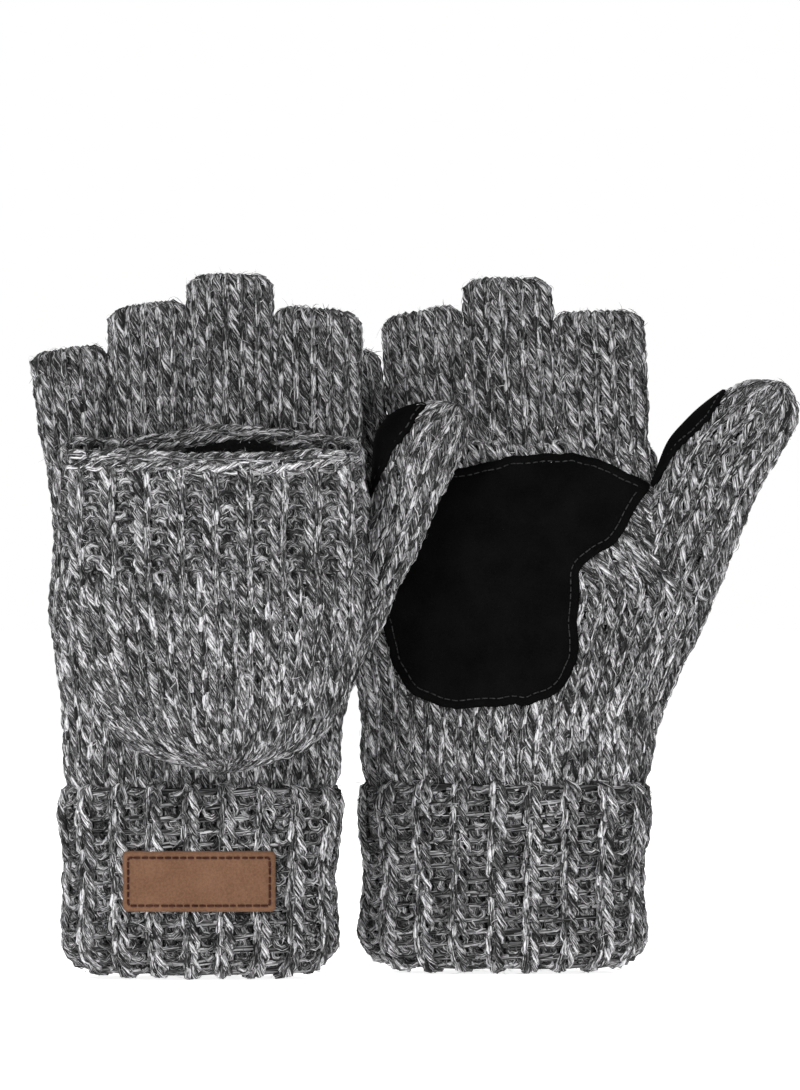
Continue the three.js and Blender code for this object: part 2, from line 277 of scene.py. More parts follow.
def skin(rows, squareness, shape=None):
    """A grid of points and outward normals over a tube, with its running length.

    `shape(points, across, out, turn)` says how far each point moves along the tube's axis.
    """
    grid = []
    for pick, centre in enumerate(rows.centre):
        wide, deep = ring_angles(rows.half[pick], rows.depth[pick], squareness)
        grid.append(centre + wide[:, None] * rows.across[pick] + deep[:, None] * Y)
    grid = np.array(grid)
    if shape is not None:
        wide = ((grid - rows.centre[:, None]) * rows.across[:, None]).sum(2)
        deep = grid[..., 1] - rows.centre[:, None, 1]
        turn = np.arange(RING_SAMPLES) / RING_SAMPLES
        rise = shape(grid, wide / rows.half[:, None], deep / rows.depth[:, None], turn)
        grid = grid + rise[..., None] * rows.axis
    around = np.roll(grid, -1, 1) - np.roll(grid, 1, 1)
    normals = unit(np.cross(around, np.gradient(grid, axis=0)))
    steps = np.linalg.norm(np.diff(grid, axis=0), axis=2)
    return Record(grid=grid, normals=normals, length=running(np.percentile(steps, 35, axis=1)))


def running(steps):
    """The running length after each step, from 0."""
    return np.concatenate([[0], np.cumsum(steps)])


def unit(vectors):
    return vectors / np.maximum(np.linalg.norm(vectors, axis=-1, keepdims=True), 1e-9)


def on_skin(surface, turn, along):
    """Points and normals of a skin at shares of a turn and lengths along it."""
    length = surface.length
    row = np.interp(along, length, np.arange(len(length)))
    # Past either end the skin goes on in a straight line.
    row = row + np.minimum(along - length[0], 0) / (length[1] - length[0])
    row = row + np.maximum(along - length[-1], 0) / (length[-1] - length[-2])
    r0 = np.clip(np.floor(row).astype(int), 0, len(length) - 2)
    fr = (row - r0)[..., None]
    column = (turn % 1.0) * RING_SAMPLES
    c0 = np.floor(column).astype(int) % RING_SAMPLES
    c1 = (c0 + 1) % RING_SAMPLES
    fc = (column - np.floor(column))[..., None]

    def mix(values):
        low = values[r0, c0] * (1 - fc) + values[r0, c1] * fc
        high = values[r0 + 1, c0] * (1 - fc) + values[r0 + 1, c1] * fc
        return low * (1 - fr) + high * fr

    return mix(surface.grid), unit(mix(surface.normals))


def waviness(seed, count, reach_mm):
    """A soft random offset field over points, as a mean of a few waves."""
    local = np.random.default_rng(seed)
    way = local.normal(size=(count, 3))
    way *= (2 * np.pi / reach_mm) / np.linalg.norm(way, axis=1, keepdims=True)
    way *= local.uniform(0.25, 1.0, (count, 1))
    phase = local.uniform(0, 2 * np.pi, count)
    return lambda p: np.sin(p @ way.T + phase).mean(-1)


WAVES = waviness(3, 14, 26.0)
FLEECE_WAVES = waviness(5, 10, 12.0)


def undulation(points):
    """The slow rise and fall of cloth that lies loose."""
    return 1.6 * WAVES(points)


# --- meshes


def linked(name, data):
    thing = bpy.data.objects.new(name, data)
    bpy.context.scene.collection.objects.link(thing)
    return thing


def make_object(name, points, faces, materials, slots=None):
    """A smooth mesh object from points in millimetres."""
    mesh = bpy.data.meshes.new(name)
    faces = np.asarray(faces)
    mesh.vertices.add(len(points))
    mesh.vertices.foreach_set("co", (points * MM).astype(np.float32).ravel())
    mesh.loops.add(faces.size)
    mesh.loops.foreach_set("vertex_index", faces.ravel().astype(np.int32))
    mesh.polygons.add(len(faces))
    starts = np.arange(0, faces.size, faces.shape[1], dtype=np.int32)
    mesh.polygons.foreach_set("loop_start", starts)
    mesh.polygons.foreach_set("use_smooth", np.ones(len(faces), bool))
    for material in materials:
        mesh.materials.append(material)
    if slots is not None:
        mesh.polygons.foreach_set("material_index", slots.astype(np.int32))
    mesh.update(calc_edges=True)
    return linked(name, mesh)


def stands_for(thing, body, *nodes):
    """Put a mesh on a body, in place of CAD nodes."""
    if body:
        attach(thing, body)
    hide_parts(*nodes)


def grid_faces(rows, columns, close_rows=False, close_columns=True):
    """Quads of a grid that closes round its columns, its rows, both or neither."""
    row, column = np.arange(rows - (not close_rows)), np.arange(columns - (not close_columns))
    r, c = np.meshgrid(row, column, indexing="ij")
    r2, c2 = (r + 1) % rows, (c + 1) % columns
    quads = [r * columns + c, r * columns + c2, r2 * columns + c2, r2 * columns + c]
    return np.stack(quads, -1).reshape(-1, 4)


def tube_round(path, lift, radius, sides, closed=True):
    """Rings of points round a path. `lift` is the way the ring's first point faces."""
    if closed:
        tangent = np.roll(path, -1, -2) - np.roll(path, 1, -2)
    else:
        tangent = np.gradient(path, axis=-2)
    tangent = unit(tangent)
    side = unit(np.cross(tangent, lift))
    up = np.cross(side, tangent)
    phi = 2 * np.pi * np.arange(sides) / sides
    rings = path[..., None, :] + radius[..., None, None] * (
        np.cos(phi)[:, None] * up[..., None, :] + np.sin(phi)[:, None] * side[..., None, :]
    )
    return rings, phi


def even_grid(surface, first, rows, columns):
    """Points, normals and faces of a grid over a skin, from a length along it to its end."""
    places = np.linspace(first, surface.length[-1], rows)
    turn, along = np.meshgrid(np.arange(columns) / columns, places)
    points, normals = on_skin(surface, turn, along)
    return points.reshape(-1, 3), normals.reshape(-1, 3), grid_faces(rows, columns)


# --- knitting


def stitch_path(surface, starts, kind, upside_down, relief, size, deep_shade, loose):
    """The yarn of every course: points, the outward way and tones, one closed row a course."""
    courses, wales = kind.shape
    share = np.arange(STITCH_SAMPLES) / STITCH_SAMPLES
    theta = 2 * np.pi * share
    stray = rng.normal(0, loose, (3, courses, wales))[..., None]
    before, after = np.roll(kind, 1, 1), np.roll(kind, -1, 1)
    # A stitch takes half of its neighbour's kind where the yarn passes between them.
    edge = np.clip(1 - np.minimum(share, 1 - share) / PASSING, 0, 1)
    other = np.where(share < 0.5, before[..., None], after[..., None])
    sign = kind[..., None] * (1 - edge / 2) + other * edge / 2

    x = share - 0.5 + LOOP_BULGE * np.sin(2 * theta)
    y = -LOOP_HEIGHT * COURSE * size * np.cos(theta)
    x = x - LOOP_SKEW * y / (WALE * size)
    flip = -1 if upside_down else 1
    index = np.arange(wales)[:, None] + 0.5
    x = index + flip * x + UNEVEN[0] * stray[0]
    y = flip * y + UNEVEN[1] * stray[1] * np.sin(theta)
    depth = sign * (-LOOP_DEPTH * np.cos(2 * theta)) + UNEVEN[2] * stray[2]
    depth = depth + RIB_RELIEF * (sign - 1) / 2
    # Painted shade: yarn that lies deeper is darker, and purl stitches, which lie deeper in a
    # rib, are darker still.
    tone = 1.02 - deep_shade + deep_shade * np.clip(depth / LOOP_DEPTH, -1, 1) - 0.05 * (sign < 0)
    tone = tone.reshape(courses, -1)
    turn = (x / wales).reshape(courses, -1)
    along = (starts[:, None, None] + y).reshape(courses, -1)
    depth = size * (depth.reshape(courses, -1) + SURFACE)
    points, normals = on_skin(surface, turn, along)
    if relief is not None:
        depth = depth + relief(points)
    points = points + depth[..., None] * normals
    if upside_down:
        points, normals, tone = points[:, ::-1], normals[:, ::-1], tone[:, ::-1]
    return points, normals, tone


def yarn_mesh(points, normals, size):
    """Vertices, quads and the yarn's own coordinates for every course of a piece."""
    courses, count, _ = points.shape
    step = np.linalg.norm(np.diff(points, axis=1, append=points[:, :1]), axis=2)
    run = np.cumsum(step, axis=1)
    run = run + rng.uniform(0, 400, (courses, 1))
    slub = 0.10 * np.sin(run / 3.7 + rng.uniform(0, 6, (courses, 1)))
    rings, phi = tube_round(points, normals, size * YARN * (1 + slub), YARN_SIDES)
    twist = phi + 2 * np.pi * (run / TWIST_LENGTH)[..., None]
    along = np.broadcast_to(run[..., None], twist.shape)
    coordinates = np.stack([along, np.cos(twist), np.sin(twist)], -1)
    one = grid_faces(count, YARN_SIDES, close_rows=True)
    faces = (one + count * YARN_SIDES * np.arange(courses)[:, None, None]).reshape(-1, 4)
    return rings.reshape(-1, 3), faces, coordinates.reshape(-1, 3)


def fibre_mesh(points, normals, size, count, covered):
    """Loose fibres: thin curved ribbons that leave the yarn at a small angle."""
    courses, length, _ = points.shape
    row, place = rng.integers(0, courses, count), rng.integers(0, length, count)
    if covered is not None:
        bare = ~covered(points[row, place])
        row, place = row[bare], place[bare]
        count = len(row)
    start, out = points[row, place], normals[row, place]
    tangent = unit(points[row, (place + 1) % length] - points[row, place - 1])
    side = np.cross(tangent, out)
    angle, bend, roll = rng.normal(0, FIBRE_STRAY, (3, count, 1))
    reach_mm = rng.uniform(*FIBRE_LENGTHS, (count, 1)) * rng.choice([-1, 1], (count, 1))
    lift = np.abs(rng.normal(0, FIBRE_LIFT, (count, 1)))
    share = np.linspace(0, 1, len(FIBRE_HALVES))
    way = tangent * np.cos(angle) + side * np.sin(angle)
    cross = side * np.cos(angle) - tangent * np.sin(angle)
    start = start + out * size * YARN * 0.9
    path = (
        start[:, None]
        + (reach_mm * share)[..., None] * way[:, None]
        + (reach_mm * 1.1 * bend * share**2)[..., None] * cross[:, None]
        + (lift * np.sin(np.pi * share) - FIBRE_FALL * share**2)[..., None] * out[:, None]
    )
    wide = cross * np.cos(2 * roll) + out * np.sin(2 * roll)
    standing = path[..., 2].min(1) > FLOOR
    path, wide, count = path[standing], wide[standing], standing.sum()
    half = FIBRE_HALVES[:, None] * wide[:, None]
    ribbon = np.stack([path - half, path + half], 2)
    one = np.arange(len(FIBRE_HALVES) - 1)[:, None] * 2 + [0, 1, 3, 2]
    each = 2 * len(FIBRE_HALVES)
    faces = (one + each * np.arange(count)[:, None, None]).reshape(-1, 4)
    return ribbon.reshape(-1, 3), faces, np.repeat(rng.uniform(0, 1, count), each)


def yarn_map(courses, count):
    """Texture places for the yarn: each course is a row of the map."""
    course, along, around = np.meshgrid(
        np.arange(courses), np.arange(count), np.arange(YARN_SIDES), indexing="ij"
    )
    u = (along[..., None] + [0, 0, 1, 1]) / count
    up = 0.05 + 0.9 * (around[..., None] + [0, 1, 1, 0]) / YARN_SIDES
    v = YARN_BAND * (course[..., None] + up) / courses
    return np.stack([u, v], -1).reshape(-1, 4, 2)


def strip_map(count, band):
    """Texture places for quads in one strip across the map."""
    low, high = band
    u = (np.arange(count)[:, None] + [0.1, 0.1, 0.9, 0.9]) / count
    v = np.broadcast_to(np.array([low, high, high, low]), (count, 4))
    return np.stack([u, v], -1)


def add_attribute(thing, name, kind, field, values):
    attribute = thing.data.attributes.new(name, kind, "POINT")
    attribute.data.foreach_set(field, values.astype(np.float32).ravel())


def knit(name, surface, wales, kinds=None, upside_down=False, relief=None, covered=None,
         size=1.0, shade=1.0, deep_shade=0.16, loose=1.0):
    """A knitted piece over a skin.

    `kinds(along, wale)` is +1 for knit and -1 for purl. No loose fibre grows where
    `covered(points)` is true. `size` scales the stitches, and `loose` is how uneven they are.
    `shade`, a share or a function of the points, scales the wool's colour, with painted shade on
    the fingers and at the cap's tip, and `deep_shade` paints shade on the yarn's deep parts.
    """
    length = surface.length[-1]
    courses = max(2, round(length / (COURSE * size)))
    starts = (np.arange(courses) + 0.5) * length / courses
    course, wale = np.meshgrid(np.arange(courses), np.arange(wales), indexing="ij")
    kind = np.ones((courses, wales)) if kinds is None else kinds(starts[course], wale)
    points, normals, tone = stitch_path(
        surface, starts, kind, upside_down, relief, size, deep_shade, loose
    )
    yarn, yarn_faces, coordinates = yarn_mesh(points, normals, size)
    rows = max(3, round(length / LINER_STEP) + 1)
    liner, outward, liner_faces = even_grid(surface, 0.0, rows, LINER_COLUMNS)
    liner = liner + LINER * size * outward
    count = int(FIBRES * courses * wales)
    fibres, fibre_faces, fibre_tone = fibre_mesh(points, normals, size, count, covered)
    parts = (yarn, liner, fibres)
    for part in parts:
        part[:, 2] = np.maximum(part[:, 2], FLOOR)
    faces = (yarn_faces, liner_faces + len(yarn), fibre_faces + len(yarn) + len(liner))
    slots = np.repeat(np.arange(3), [len(part) for part in faces])
    materials = [WOOL, SHADED_WOOL_BEHIND, WOOL_FIBRE]
    thing = make_object(name, np.concatenate(parts), np.concatenate(faces), materials, slots)

    fibre_values = np.stack([fibre_tone] * 3, -1)
    values = np.concatenate([coordinates, np.zeros((len(liner), 3)), fibre_values])
    add_attribute(thing, "yarn", "FLOAT_VECTOR", "vector", values)
    tone = tone * (shade(points) if callable(shade) else shade)
    others = np.ones(len(liner) + len(fibres))
    tones = np.concatenate([np.repeat(tone.reshape(-1), YARN_SIDES), others])
    add_attribute(thing, "shade", "FLOAT", "value", tones)
    strips = [strip_map(len(liner_faces), LINER_BAND), strip_map(len(fibre_faces), FIBRE_BAND)]
    places = np.concatenate([yarn_map(courses, points.shape[1]), *strips])
    map_layer = thing.data.uv_layers.new(name=BAKE_MAP)
    map_layer.data.foreach_set("uv", places.astype(np.float32).ravel())
    return thing


def rib(along, wale):
    return np.where(wale % 2 == 0, 1.0, -1.0)


# --- materials


def new_material(name, roughness, specular=0.25):
    material = bpy.data.materials.new(name)
    material.use_nodes = True
    surface = material.node_tree.nodes["Principled BSDF"]
    surface.inputs["Roughness"].default_value = roughness
    surface.inputs["Specular IOR Level"].default_value = specular
    return material, material.node_tree, surface


def add_node(tree, kind, **inputs):
    """A node whose named inputs are values or the outputs of other nodes."""
    node = tree.nodes.new(kind)
    for key, value in inputs.items():
        socket = node.inputs[key.replace("_", " ")]
        if isinstance(value, bpy.types.NodeSocket):
            tree.links.new(value, socket)
        else:
            socket.default_value = value
    return node


def attribute_node(tree, name):
    node = tree.nodes.new("ShaderNodeAttribute")
    node.attribute_name = name
    return node.outputs["Vector" if name == "yarn" else "Fac"]


def noise(tree, place=None, **inputs):
    """Noise at a place, or at the object's own coordinates."""
    place = place or tree.nodes.new("ShaderNodeTexCoord").outputs["Object"]
    return add_node(tree, "ShaderNodeTexNoise", Vector=place, **inputs).outputs["Fac"]


def weighted_sum(tree, first, weight, second):
    """The output `first` times a weight plus `second`."""
    both = tree.nodes.new("ShaderNodeMath")
    both.operation = "MULTIPLY_ADD"
    tree.links.new(first, both.inputs[0])
    both.inputs[1].default_value = weight
    tree.links.new(second, both.inputs[2])
    return both.outputs["Value"]


def ramp(tree, value, stops):
    """The colours that a value picks out of a ramp."""
    node = add_node(tree, "ShaderNodeValToRGB", Fac=value)
    elements = node.color_ramp.elements
    while len(elements) < len(stops):
        elements.new(0.5)
    for element, (place, colour) in zip(elements, stops):
        element.position = place
        element.color = (*colour, 1.0)
    return node.outputs["Color"]


def add_bump(tree, surface, height, strength, distance_mm):
    bump = add_node(
        tree, "ShaderNodeBump", Height=height, Strength=strength, Distance=distance_mm * MM
    )
    tree.links.new(bump.outputs["Normal"], surface.inputs["Normal"])


def grey(value, tint=1.02):
    """A linear colour from an 8-bit grey level, slightly violet."""
    c = value / 255
    linear = c / 12.92 if c <= 0.04045 else ((c + 0.055) / 1.055) ** 2.4
    return (linear * 1.004, linear * 0.995, linear * tint)


def greys(stops):
    return [(place, grey(level)) for place, level in stops]


def marled_wool(name):
    """Dark and light fibres that run along the twisted yarn."""
    material, tree, surface = new_material(name, 0.95)
    yarn = attribute_node(tree, "yarn")

    def streaks(scale, detail):
        stretched = add_node(tree, "ShaderNodeMapping", Vector=yarn, Scale=scale)
        return noise(tree, stretched.outputs["Vector"], Scale=1.0, Detail=detail, Roughness=0.6)

    fibre = streaks((0.24, 2.6, 2.6), 2.0)
    marl = streaks((0.07, 0.5, 0.5), 1.0)
    stops = greys(((0.64, 22), (0.74, 50), (0.82, 98), (0.90, 160), (1.0, 235)))
    tones = ramp(tree, weighted_sum(tree, marl, 0.6, fibre), stops)
    # The shade attribute scales the colour: painted shade on deep yarn, on the fingers and at the
    # cap's tip.
    shade = attribute_node(tree, "shade")
    darker = add_node(tree, "ShaderNodeVectorMath", Vector=tones)
    darker.operation = "SCALE"
    tree.links.new(shade, darker.inputs["Scale"])
    tree.links.new(darker.outputs["Vector"], surface.inputs["Base Color"])
    add_bump(tree, surface, fibre, 0.8, 0.5)
    return material


def plain_wool(name, dark, light):
    """Wool of one shade, clouded a little."""
    material, tree, surface = new_material(name, 1.0)
    cloud = noise(tree, Scale=900.0, Detail=4.0)
    tones = ramp(tree, cloud, greys(((0.35, dark), (0.65, light))))
    tree.links.new(tones, surface.inputs["Base Color"])
    return material


def napped(name, dark, light, scale, bump_mm):
    """Suede, fleece or leather: clouded colour and a fine raised nap."""
    material, tree, surface = new_material(name, 0.95, specular=0.04)
    cloud = noise(tree, Scale=90.0, Detail=3.0)
    grain = noise(tree, Scale=scale, Detail=6.0, Roughness=0.7)
    tones = ramp(tree, weighted_sum(tree, cloud, 0.6, grain), [(0.62, dark), (0.98, light)])
    tree.links.new(tones, surface.inputs["Base Color"])
    add_bump(tree, surface, grain, 0.6, bump_mm)
    return material


def loose_fibre(name):
    """Each loose fibre has one tone, mostly light."""
    material, tree, surface = new_material(name, 0.8)
    yarn = attribute_node(tree, "yarn")
    tone = add_node(tree, "ShaderNodeSeparateXYZ", Vector=yarn).outputs["X"]
    tones = ramp(tree, tone, greys(((0.0, 30), (0.35, 90), (0.7, 150), (1.0, 225))))
    tree.links.new(tones, surface.inputs["Base Color"])
    return material


WOOL = marled_wool("marled_wool")
WOOL_FIBRE = loose_fibre("wool_fibre")
# Painted shade: the sheet behind the stitches is darker than the wool, for yarn in shadow there.
SHADED_WOOL_BEHIND = plain_wool("shaded_wool_behind", 18, 52)
FLEECE = napped("black_fleece", grey(10), grey(26), 1500.0, 0.5)
SUEDE = napped("black_suede", grey(4, 1.0), grey(13, 1.0), 2600.0, 0.25)
LEATHER = napped("brown_leather", (0.142, 0.073, 0.043), (0.212, 0.114, 0.07), 1300.0, 0.12)
GREY_THREAD = plain_wool("grey_thread", 28, 56)
BROWN_THREAD = napped("brown_thread", (0.03, 0.012, 0.009), (0.075, 0.03, 0.024), 900.0, 0.1)


# --- flat outlines


def resampled(loop, spacing):
    """A closed loop with its points evenly spaced."""
    closed = np.vstack([loop, loop[:1]])
    length = running(np.linalg.norm(np.diff(closed, axis=0), axis=1))
    count = max(8, round(length[-1] / spacing))
    even = np.arange(count) * length[-1] / count
    return np.stack([np.interp(even, length, values) for values in closed.T], -1)


def rim_edges(bm):
    """The edges where a flat face along Y meets a side wall, always in the same order."""
    rim = []
    for edge in bm.edges:
        if len(edge.link_faces) == 2:
            wall, flat = sorted(abs(face.normal.y) for face in edge.link_faces)
            if wall < 0.2 and flat > 0.4:
                rim.append(edge)
    return rim


def outline(node, softness):
    """The (x, z) outline of a CAD sheet, evenly spaced, with its corners softened."""
    bm = bmesh.new()
    bm.from_mesh(frame["nodes"][node].data)
    bmesh.ops.remove_doubles(bm, verts=bm.verts, dist=1e-6)
    rim = rim_edges(bm)
    loops = []
    while rim:
        edge = rim.pop()
        chain = list(edge.verts)
        following = True
        while following:
            following = next((e for e in chain[-1].link_edges if e in rim), None)
            if following:
                rim.remove(following)
                chain.append(following.other_vert(chain[-1]))
        loops.append(np.array([(v.co.x, v.co.z) for v in chain]) / MM)
    bm.free()
    loop = max(loops, key=lambda points: np.ptp(points, axis=0).sum())
    loop = resampled(loop, 1.0)
    for _ in range(softness):
        loop = (np.roll(loop, 1, 0) + 2 * loop + np.roll(loop, -1, 0)) / 4
    area = np.sum(loop[:, 0] * np.roll(loop[:, 1], -1) - loop[:, 1] * np.roll(loop[:, 0], -1))
    return loop if area > 0 else loop[::-1]


def inward_normals(loop):
    step = np.roll(loop, -1, 0) - np.roll(loop, 1, 0)
    return unit(np.stack([-step[:, 1], step[:, 0]], -1))


def distance_to(loop, flat):
    """How far points lie from a closed loop."""
    fine = resampled(loop, 0.3)
    return np.linalg.norm(flat[..., None, :] - fine, axis=-1).min(-1)


def inside(loop, flat):
    """Which points lie inside a closed loop."""
    x, z = flat[..., 0, None], flat[..., 1, None]
    (x0, z0), (x1, z1) = loop.T, np.roll(loop, -1, 0).T
    crosses = ((z0 > z) != (z1 > z)) & (x < x0 + (z - z0) / (z1 - z0 + 1e-9) * (x1 - x0))
    return crosses.sum(-1) % 2 == 1


def under_sheet(side, style):
    """Whether points lie under a CAD sheet on one face of the glove."""
    loop = outline(f"{side}_{style.node}", style.softness)
    middle, _ = middle_and_half(f"{side}_cuff_turnup")
    facing = SIDES[side] * style.outward

    def covered(points):
        return inside(loop, points[..., [0, 2]]) & ((points[..., 1] - middle[1]) * facing > 0)

    return covered


# --- sewn sheets

# `outward` is 1 on the back of the hand and -1 on the palm. `middle` is where the rings of a
# sheet close in, as shares of its outline's box. `lobe` draws out its tip, towards the thumb.
SUEDE_STYLE = Record(
    node="palm_patch", body="hand", outward=-1,
    material=SUEDE, thick=1.15, lift=0.1, wave=undulation,
    softness=9, middle=np.array([0.47, 0.7]), ragged=1.2, lobe=np.array([3.6, 2.4]),
    thread_material=GREY_THREAD, inset=2.9, groove=0.35, pitch=2.5, thread=0.22,
)
LABEL_STYLE = Record(
    node="label", body="cuff", outward=1,
    material=LEATHER, thick=1.5, lift=0.2, wave=lambda points: 0.0 * points[..., 0],
    softness=2, middle=np.array([0.5, 0.5]), ragged=0.0, lobe=np.zeros(2),
    thread_material=BROWN_THREAD, inset=2.0, groove=0.3, pitch=2.6, thread=0.4,
)
LOBE_WIDTH = 5.0


def skin_tree(surface):
    faces = grid_faces(*surface.grid.shape[:2])
    return BVHTree.FromPolygons(surface.grid.reshape(-1, 3).tolist(), faces.tolist())


def dropped(tree, flat, facing):
    """Points and normals where lines along Y through (x, z) points meet a skin."""
    far = 500
    hits = []
    for x, z in flat:
        hit = tree.ray_cast(Vector((x, facing * far, z)), Vector((0, -facing, 0)))
        if hit[0] is None:
            hit = tree.find_nearest(Vector((x, 0, z)))
        hits.append(hit[:2])
    return np.array(hits).transpose(1, 0, 2)


def rounded_edge(distance, thickness):
    share = np.clip(distance / (EDGE_ROUNDING * thickness), 0, 1)
    return thickness * np.sqrt(1 - (1 - share) ** 2)


def stitches(name, path, normals, style):
    """A row of short stitches along a finely spaced path."""
    spacing = np.linalg.norm(path[1] - path[0])
    pitch = round(style.pitch / spacing)
    long = round(style.pitch * THREAD_SHARE / spacing)
    bow = THREAD_BOW * (np.sin(np.linspace(0, np.pi, THREAD_RINGS)) - 0.5)
    radius = np.full(THREAD_RINGS, style.thread)
    one = grid_faces(THREAD_RINGS, THREAD_SIDES)
    all_points, all_faces = [], []
    for start in range(0, len(path) - long, pitch):
        end = min(start + long + rng.integers(-1, 2), len(path) - 1)
        pick = np.linspace(start, end, THREAD_RINGS).astype(int)
        centre = path[pick] + bow[:, None] * normals[pick]
        rings, _ = tube_round(centre, normals[pick], radius, THREAD_SIDES, closed=False)
        all_faces.append(one + len(all_points) * THREAD_RINGS * THREAD_SIDES)
        all_points.append(rings.reshape(-1, 3))
    points, faces = np.concatenate(all_points), np.concatenate(all_faces)
    return make_object(name, points, faces, [style.thread_material])


def patch(side, surface, style):
    """A sheet with soft edges that lies on a skin, and the stitches near its border."""
    name, body = f"{side}_{style.node}", f"{side}_{style.body}"
    facing = SIDES[side] * style.outward
    loop = outline(name, style.softness)
    from_tip = np.linalg.norm(loop - loop[np.argmax(loop[:, 0])], axis=1)
    loop = loop + bell(from_tip, LOBE_WIDTH)[:, None] * style.lobe
    ragged = style.ragged * WAVES(RAGGED_SCALE * np.insert(loop, 1, 0.0, axis=1))
    loop = loop + ragged[:, None] * inward_normals(loop)
    inward = inward_normals(loop)
    tree = skin_tree(surface)
    inset, groove = style.inset, style.groove

    middle = loop.min(0) + style.middle * np.ptp(loop, axis=0)
    reach_in = np.abs(((middle - loop) * inward).sum(1))
    edge_shares = 1 - EDGE_STEPS[None] / reach_in[:, None]
    shares = np.concatenate([edge_shares, edge_shares[:, -1:] * INNER_SHARES], 1).T
    flat = middle + shares[..., None] * (loop - middle)
    depth_in = distance_to(loop, flat)
    base, normals = dropped(tree, flat.reshape(-1, 2), facing)
    rise = rounded_edge(depth_in, style.thick)
    rise = rise - groove * bell(depth_in - inset, GROOVE_WIDTH)
    rise = rise.reshape(-1) + style.lift
    rise[: len(loop)] -= EDGE_TUCK
    points = base + (rise + style.wave(base))[:, None] * normals
    faces = grid_faces(len(shares), len(loop))
    if facing > 0:
        faces = faces[:, ::-1]
    sheet = make_object(f"{name}_sheet", points, faces, [style.material])
    stands_for(sheet, body, name)

    line = loop + inset * inward
    line = resampled(line[distance_to(loop, line) > 0.96 * inset], 0.25)
    base, normals = dropped(tree, line, facing)
    height = style.thick + style.lift - THREAD_SINK * groove + style.wave(base)
    thread = stitches(f"{name}_thread", base + height[:, None] * normals, normals, style)
    stands_for(thread, body, f"{name}_stitching")


# --- hand

HAND_WALES = 40
THUMB_BELOW = 3.0  # the outline runs straight across the thumb from this far below its root
THUMB_ABOVE = 12.0  # to this far below the knuckles
THINNING = 17.0  # the hand thins to the depth of the fingers over this height
# Three sections carry the hand down into the inner cuff: how far down, and how much wider
# and deeper than the cuff they are.
WRIST_DROPS = np.array([9.0, 6.0, 3.0])
WRIST_HALVES = np.array([0.4, 1.0, 3.0])
WRIST_DEPTHS = np.array([0.2, 0.4, 0.6])


def hand_rows(side):
    """The hand's sections, carried straight across the place where the thumb leaves it."""
    low, high = box_mm(f"{side}_hand_shell")
    rows = level_sections(f"{side}_hand_shell", low[2] + TRIM, high[2] - TRIM)
    heights = rows.centre[:, 2]
    thumb_low, _ = box_mm(f"{side}_thumb_shell")
    left = rows.centre[:, 0] - rows.half
    right = rows.centre[:, 0] + rows.half
    below, above = thumb_low[2] - THUMB_BELOW, high[2] - THUMB_ABOVE
    root = np.interp(below, heights, right)
    bridge = np.interp(heights, [below, above, high[2]], [root, right[-1] + 0.6, right[-1]])
    right = np.where(heights < below, right, bridge)
    rows.centre[:, 0] = (left + right) / 2
    rows.half = (right - left) / 2

    middle, half = middle_and_half(f"{side}_middle_finger")
    share = fading(high[2] - heights, THINNING, 1.5)
    depth = half[1] + 0.6
    body = np.median(rows.depth[heights < high[2] - THINNING - 3])
    rows.depth = np.minimum(rows.depth, body + (depth - body) * share + 2 * (share == 0))
    rows.centre[:, 1] += (middle[1] - rows.centre[:, 1]) * share

    _, half = middle_and_half(f"{side}_cuff_inner")
    wrist = picked(rows, [0] * len(WRIST_DROPS))
    wrist.centre[:, 2] -= WRIST_DROPS
    wrist.half = half[0] + WRIST_HALVES
    wrist.depth = half[1] + WRIST_DEPTHS
    return softened(joined(wrist, rows), 2)


def hand(side):
    surface = skin(hand_rows(side), FLAT)
    covered = under_sheet(side, SUEDE_STYLE)
    thing = knit(f"{side}_hand_knit", surface, HAND_WALES, relief=undulation, covered=covered)
    stands_for(thing, f"{side}_hand", f"{side}_hand_shell")
    patch(side, surface, SUEDE_STYLE)


# --- fingers

FINGER_WALES = 12
FINGER_SPREAD = 0.5
FINGER_ROOT_DROP = 7.0
FINGER_ROOT_NARROWING = 2.5
FINGER_ROLL = 2.4  # radius of the rolled rim
FINGER_SLOPE = 16.0  # the rim's slope and rise fade away over this height
FINGERS = ("little", "ring", "middle", "index")
# How far each finger's top tilts towards the thumb, and how far it stands above the CAD rim.
TILTS = {"left": (1.4, 1.7, 0.0, -1.3), "right": (1.4, 2.6, 0.0, 0.2)}
RISES = {"left": (0.0, 0.0, 0.0, -0.2), "right": (-0.6, -1.3, 0.0, 0.2)}


def finger_rows(node):
    """A finger's sections, from a root inside the hand to a rim that is rolled inwards."""
    low, high = box_mm(node)
    rows = level_sections(node, low[2] + TRIM, high[2] - FINGER_ROLL - 0.8)
    root = picked(rows, [0, 1])
    root.centre[:, 2] -= FINGER_ROOT_DROP
    root.half -= FINGER_ROOT_NARROWING
    rows = rolled(softened(joined(root, rows)), FINGER_ROLL, 180, 3.0)
    rows.half = rows.half + FINGER_SPREAD
    return rows


def finger(node, side, tilt, rise):
    _, high = box_mm(node)

    def slope(points, across, out, turn):
        weight = fading(high[2] - points[..., 2], FINGER_SLOPE, 1.3)
        return weight * (rise + tilt * across - 2.0 * np.abs(across) ** 9)

    surface = skin(finger_rows(node), FLATTISH, slope)
    # Painted shade: the fingers' wool is darker than the cap's, and their deep yarn darker still.
    thing = knit(f"{node}_knit", surface, FINGER_WALES, shade=0.77, deep_shade=0.32)
    stands_for(thing, f"{side}_hand", node)
    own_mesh(thing)


# --- cuff

CUFF_WALES = 36
CUFF_BOTTOM = 3.4  # the plain part of the turn-up starts this far above its bottom
CUFF_TOP = 1.6
SCALLOP = 0.7  # each rib makes a small scallop in the cuff's edges
BOTTOM_ROUNDING = 3.4  # how far the bottom edge rises at the corners
BOTTOM_FADE = 10
TOP_FADE = 6


